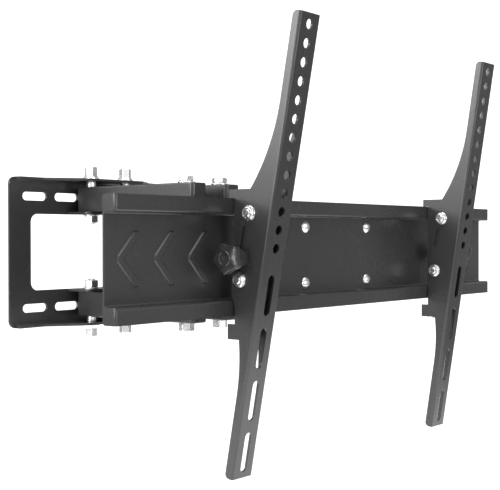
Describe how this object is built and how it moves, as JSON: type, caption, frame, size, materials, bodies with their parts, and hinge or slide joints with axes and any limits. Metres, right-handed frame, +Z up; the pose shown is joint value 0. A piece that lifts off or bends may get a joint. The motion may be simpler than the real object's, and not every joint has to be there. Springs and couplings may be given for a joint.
{
  "type": "tv mount",
  "caption": "Full-motion wall mount for a television: slotted wall plate, two parallel swing arms, front arm with a swivel, wide cross plate and tilting hook-on brackets.",
  "frame": {"origin": "centre of the wall plate's slot pattern on its back face", "axes": "+Y into the wall, +Z up, +X to the right seen from the front"},
  "size_m": [0.645, 0.2871, 0.4156],
  "materials": {
    "black_powder_coat": "satin black powder coat",
    "bright_zinc": "bright zinc plate",
    "black_plastic": "semi-gloss moulded plastic",
    "grey_nylon": "moulded nylon"
  },
  "bodies": {
    "wall": {"wall_plate": "black_powder_coat", "pivot_bolts": "bright_zinc", "pivot_spacers": "bright_zinc", "pivot_washers": "bright_zinc", "pivot_nuts": "bright_zinc"},
    "arm_left": {"swing_arm_left_top": "black_powder_coat", "swing_arm_left_bottom": "black_powder_coat", "arm_bushes_left": "bright_zinc", "elbow_bolt_left": "bright_zinc", "elbow_washer_left": "bright_zinc", "elbow_nut_left": "bright_zinc"},
    "arm_right": {"swing_arm_right_top": "black_powder_coat", "swing_arm_right_bottom": "black_powder_coat", "arm_bushes_right": "bright_zinc", "elbow_bolt_right": "bright_zinc", "elbow_washer_right": "bright_zinc", "elbow_nut_right": "bright_zinc"},
    "front_arm": {"front_arm": "black_powder_coat", "elbow_bearings": "grey_nylon", "elbow_sleeves": "bright_zinc", "swivel_bolt": "bright_zinc", "swivel_washers": "bright_zinc", "swivel_nut": "bright_zinc"},
    "head": {"swivel_bracket": "black_powder_coat", "cross_plate": "black_powder_coat", "carriage_bolts": "bright_zinc", "carriage_washers": "bright_zinc", "carriage_nuts": "bright_zinc"},
    "hook_left": {"hook_plate_left": "black_powder_coat", "safety_screw_left": "bright_zinc"},
    "bracket_left": {"tv_bracket_left": "black_powder_coat", "tilt_bolts_left": "bright_zinc", "tilt_washers_left": "bright_zinc", "tilt_nuts_left": "bright_zinc", "clamp_nut_left": "bright_zinc"},
    "knob_left": {"clamp_knob_left": "black_plastic", "clamp_stud_left": "bright_zinc"},
    "hook_right": {"hook_plate_right": "black_powder_coat", "safety_screw_right": "bright_zinc"},
    "bracket_right": {"tv_bracket_right": "black_powder_coat", "tilt_bolts_right": "bright_zinc", "tilt_washers_right": "bright_zinc", "tilt_nuts_right": "bright_zinc", "clamp_nut_right": "bright_zinc"},
    "knob_right": {"clamp_knob_right": "black_plastic", "clamp_stud_right": "bright_zinc"}
  },
  "joints": [
    {"name": "swing_left", "type": "hinge", "parent": "wall", "child": "arm_left", "pos_m": [-0.0235, -0.0215, 0], "axis": [0, 0, 1], "range_deg": [-60, 60]},
    {"name": "swing_right", "type": "hinge", "parent": "wall", "child": "arm_right", "pos_m": [0.0235, -0.0215, 0], "axis": [0, 0, 1], "range_deg": [-60, 60]},
    {"name": "elbow", "type": "hinge", "parent": "arm_left", "child": "front_arm", "pos_m": [-0.0235, -0.1535, 0], "axis": [0, 0, 1], "range_deg": [-60, 60]},
    {"name": "swivel", "type": "hinge", "parent": "front_arm", "child": "head", "pos_m": [0.161, -0.1681, 0], "axis": [0, 0, 1], "range_deg": [-5, 30]},
    {"name": "slide_left", "type": "slide", "parent": "head", "child": "hook_left", "axis": [1, 0, 0], "range_m": [-0.139, 0.134]},
    {"name": "tilt_left", "type": "hinge", "parent": "hook_left", "child": "bracket_left", "pos_m": [-0.0087, -0.2295, 0.0355], "axis": [1, 0, 0], "range_deg": [-12.8, 0.7]},
    {"name": "knob_turn_left", "type": "hinge", "parent": "bracket_left", "child": "knob_left", "pos_m": [-0.0087, -0.22191, -0.00428], "axis": [1, 0, 0], "continuous": true},
    {"name": "slide_right", "type": "slide", "parent": "head", "child": "hook_right", "axis": [1, 0, 0], "range_m": [-0.15, 0.125]},
    {"name": "tilt_right", "type": "hinge", "parent": "hook_right", "child": "bracket_right", "pos_m": [0.3372, -0.2295, 0.0355], "axis": [1, 0, 0], "range_deg": [-11, 2.5]},
    {"name": "knob_turn_right", "type": "hinge", "parent": "bracket_right", "child": "knob_right", "pos_m": [0.3372, -0.22316, -0.0045], "axis": [1, 0, 0], "continuous": true}
  ],
  "couplings": [
    {"joint": "swing_right", "follows": "swing_left", "ratio": 1},
    {"joint": "elbow", "follows": "swing_left", "ratio": -1}
  ]
}
